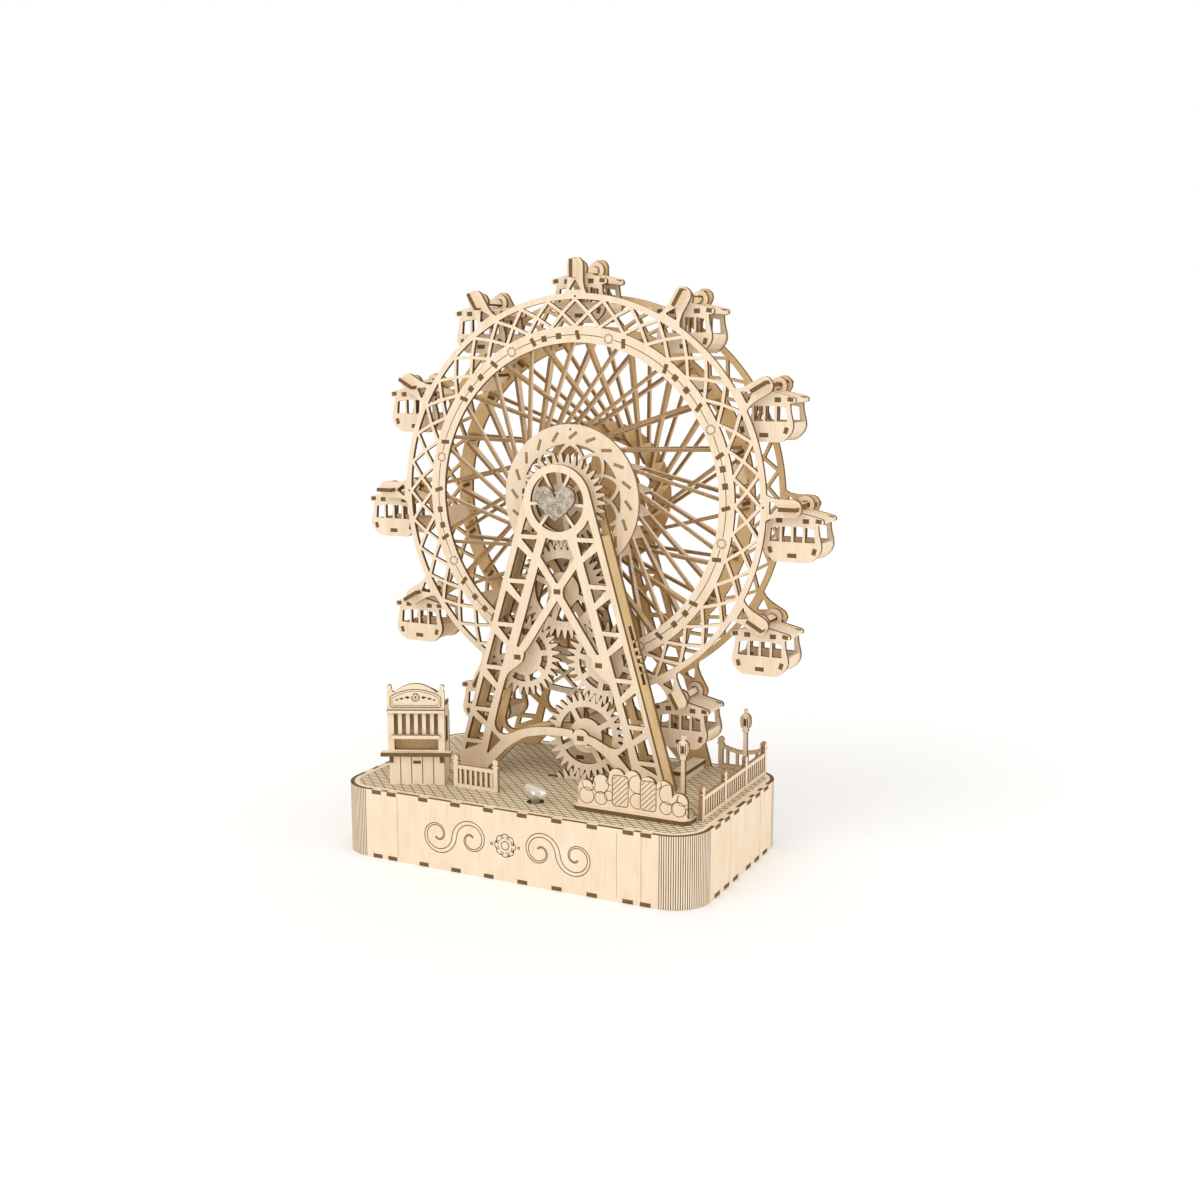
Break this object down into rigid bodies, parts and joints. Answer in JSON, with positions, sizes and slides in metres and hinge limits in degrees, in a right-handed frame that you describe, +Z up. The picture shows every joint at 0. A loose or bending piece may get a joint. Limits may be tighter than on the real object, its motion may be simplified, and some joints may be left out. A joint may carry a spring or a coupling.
{
  "type": "wooden ferris wheel music box",
  "caption": "Laser-cut plywood ferris wheel on a rounded base box, turned through visible wooden gears by a spring-wound musical movement.",
  "frame": {"origin": "centre of the base's underside", "axes": "+Z up, +X to the right seen from the front, +Y to the back, along the wheel's axle"},
  "size_m": [0.2488, 0.115, 0.2865],
  "materials": {
    "face_plywood": "sanded pale basswood plywood, cut edges charred brown",
    "inner_plywood": "raw basswood plywood seen in the shade, charred cut edges",
    "deck_plywood": "plywood engraved all over with a paving pattern",
    "heart_plywood": "plywood engraved all over with fine dark stipple",
    "key_chrome": "bright chrome plate",
    "movement_brass": "lightly worn brass",
    "movement_steel": "brushed steel"
  },
  "bodies": {
    "stand": {"base_floor": "face_plywood", "base_front_wall": "face_plywood", "base_back_wall": "face_plywood", "base_deck": "deck_plywood", "movement_bedplate": "movement_brass", "tone_comb": "movement_steel", "governor_frame": "movement_steel", "tower_front_plate": "face_plywood", "tower_inner_plate": "inner_plywood", "tower_rear_plate": "inner_plywood", "heart_plate": "heart_plywood", "tower_right_board": "inner_plywood", "tower_left_board": "inner_plywood", "centre_gear_axle": "inner_plywood", "right_gear_axle": "inner_plywood", "left_gear_axle": "inner_plywood", "bottom_gear_axle": "inner_plywood", "booth_front": "face_plywood", "booth_body": "face_plywood", "booth_counter": "face_plywood", "left_fence": "face_plywood", "right_fence": "face_plywood", "back_fence": "face_plywood", "front_lamp": "face_plywood", "back_lamp": "face_plywood", "bush_sign": "face_plywood", "bush_sign_base": "face_plywood", "boarding_platform": "inner_plywood"},
    "wheel": {"main_axle": "inner_plywood", "hub_gear": "face_plywood", "front_rim": "face_plywood", "rear_rim": "inner_plywood", "front_spoke_wheel": "face_plywood", "rear_spoke_wheel": "inner_plywood"},
    "cabin_01": {"cabin_01": "face_plywood"},
    "cabin_02": {"cabin_02": "face_plywood"},
    "cabin_03": {"cabin_03": "face_plywood"},
    "cabin_04": {"cabin_04": "face_plywood"},
    "cabin_05": {"cabin_05": "face_plywood"},
    "cabin_06": {"cabin_06": "face_plywood"},
    "cabin_07": {"cabin_07": "face_plywood"},
    "cabin_08": {"cabin_08": "face_plywood"},
    "cabin_09": {"cabin_09": "face_plywood"},
    "cabin_10": {"cabin_10": "face_plywood"},
    "cabin_11": {"cabin_11": "face_plywood"},
    "cabin_12": {"cabin_12": "face_plywood"},
    "centre_gear": {"centre_gear": "face_plywood"},
    "right_gear": {"right_gear": "face_plywood"},
    "left_gear": {"left_gear": "face_plywood"},
    "bottom_gear": {"bottom_gear": "face_plywood"},
    "drive": {"drive_gear": "face_plywood", "pin_cylinder": "movement_brass"},
    "barrel": {"spring_barrel": "movement_brass"},
    "governor": {"governor_fly": "movement_brass"},
    "key": {"winding_key": "key_chrome"}
  },
  "joints": [
    {"name": "wheel_spin", "type": "hinge", "parent": "stand", "child": "wheel", "pos_m": [0, 0.02885, 0.1715], "axis": [0, 1, 0], "continuous": true},
    {"name": "cabin_01_swing", "type": "hinge", "parent": "wheel", "child": "cabin_01", "pos_m": [0, 0.02885, 0.2811], "axis": [0, 1, 0], "continuous": true},
    {"name": "cabin_02_swing", "type": "hinge", "parent": "wheel", "child": "cabin_02", "pos_m": [0.0548, 0.02885, 0.26642], "axis": [0, 1, 0], "continuous": true},
    {"name": "cabin_03_swing", "type": "hinge", "parent": "wheel", "child": "cabin_03", "pos_m": [0.09492, 0.02885, 0.2263], "axis": [0, 1, 0], "continuous": true},
    {"name": "cabin_04_swing", "type": "hinge", "parent": "wheel", "child": "cabin_04", "pos_m": [0.1096, 0.02885, 0.1715], "axis": [0, 1, 0], "continuous": true},
    {"name": "cabin_05_swing", "type": "hinge", "parent": "wheel", "child": "cabin_05", "pos_m": [0.09492, 0.02885, 0.1167], "axis": [0, 1, 0], "continuous": true},
    {"name": "cabin_06_swing", "type": "hinge", "parent": "wheel", "child": "cabin_06", "pos_m": [0.0548, 0.02885, 0.07658], "axis": [0, 1, 0], "continuous": true},
    {"name": "cabin_07_swing", "type": "hinge", "parent": "wheel", "child": "cabin_07", "pos_m": [0, 0.02885, 0.0619], "axis": [0, 1, 0], "continuous": true},
    {"name": "cabin_08_swing", "type": "hinge", "parent": "wheel", "child": "cabin_08", "pos_m": [-0.0548, 0.02885, 0.07658], "axis": [0, 1, 0], "continuous": true},
    {"name": "cabin_09_swing", "type": "hinge", "parent": "wheel", "child": "cabin_09", "pos_m": [-0.09492, 0.02885, 0.1167], "axis": [0, 1, 0], "continuous": true},
    {"name": "cabin_10_swing", "type": "hinge", "parent": "wheel", "child": "cabin_10", "pos_m": [-0.1096, 0.02885, 0.1715], "axis": [0, 1, 0], "continuous": true},
    {"name": "cabin_11_swing", "type": "hinge", "parent": "wheel", "child": "cabin_11", "pos_m": [-0.09492, 0.02885, 0.2263], "axis": [0, 1, 0], "continuous": true},
    {"name": "cabin_12_swing", "type": "hinge", "parent": "wheel", "child": "cabin_12", "pos_m": [-0.0548, 0.02885, 0.26642], "axis": [0, 1, 0], "continuous": true},
    {"name": "centre_gear_spin", "type": "hinge", "parent": "stand", "child": "centre_gear", "pos_m": [0, 0.002, 0.1283], "axis": [0, 1, 0], "continuous": true},
    {"name": "right_gear_spin", "type": "hinge", "parent": "stand", "child": "right_gear", "pos_m": [0.0223, 0.002, 0.09413], "axis": [0, 1, 0], "continuous": true},
    {"name": "left_gear_spin", "type": "hinge", "parent": "stand", "child": "left_gear", "pos_m": [-0.0223, 0.002, 0.09413], "axis": [0, 1, 0], "continuous": true},
    {"name": "bottom_gear_spin", "type": "hinge", "parent": "stand", "child": "bottom_gear", "pos_m": [0.0124, 0.002, 0.05703], "axis": [0, 1, 0], "continuous": true},
    {"name": "drive_spin", "type": "hinge", "parent": "stand", "child": "drive", "pos_m": [0.006, 0.002, 0.02221], "axis": [0, 1, 0], "continuous": true},
    {"name": "barrel_spin", "type": "hinge", "parent": "stand", "child": "barrel", "pos_m": [0.006, -0.0389, 0.02], "axis": [0, 0, 1], "continuous": true},
    {"name": "governor_spin", "type": "hinge", "parent": "stand", "child": "governor", "pos_m": [-0.007, -0.018, 0.02], "axis": [0, 0, 1], "continuous": true},
    {"name": "key_turn", "type": "hinge", "parent": "stand", "child": "key", "pos_m": [0.006, -0.0389, 0.02], "axis": [0, 0, 1], "continuous": true}
  ],
  "couplings": [
    {"joint": "cabin_01_swing", "follows": "wheel_spin", "ratio": -1},
    {"joint": "cabin_02_swing", "follows": "wheel_spin", "ratio": -1},
    {"joint": "cabin_03_swing", "follows": "wheel_spin", "ratio": -1},
    {"joint": "cabin_04_swing", "follows": "wheel_spin", "ratio": -1},
    {"joint": "cabin_05_swing", "follows": "wheel_spin", "ratio": -1},
    {"joint": "cabin_06_swing", "follows": "wheel_spin", "ratio": -1},
    {"joint": "cabin_07_swing", "follows": "wheel_spin", "ratio": -1},
    {"joint": "cabin_08_swing", "follows": "wheel_spin", "ratio": -1},
    {"joint": "cabin_09_swing", "follows": "wheel_spin", "ratio": -1},
    {"joint": "cabin_10_swing", "follows": "wheel_spin", "ratio": -1},
    {"joint": "cabin_11_swing", "follows": "wheel_spin", "ratio": -1},
    {"joint": "cabin_12_swing", "follows": "wheel_spin", "ratio": -1},
    {"joint": "centre_gear_spin", "follows": "wheel_spin", "ratio": -0.94595},
    {"joint": "right_gear_spin", "follows": "wheel_spin", "ratio": 1.129},
    {"joint": "left_gear_spin", "follows": "wheel_spin", "ratio": 1.129},
    {"joint": "bottom_gear_spin", "follows": "wheel_spin", "ratio": -1.0606},
    {"joint": "drive_spin", "follows": "wheel_spin", "ratio": 1.3462},
    {"joint": "barrel_spin", "follows": "wheel_spin", "ratio": 0.33654},
    {"joint": "governor_spin", "follows": "wheel_spin", "ratio": 10.769}
  ]
}
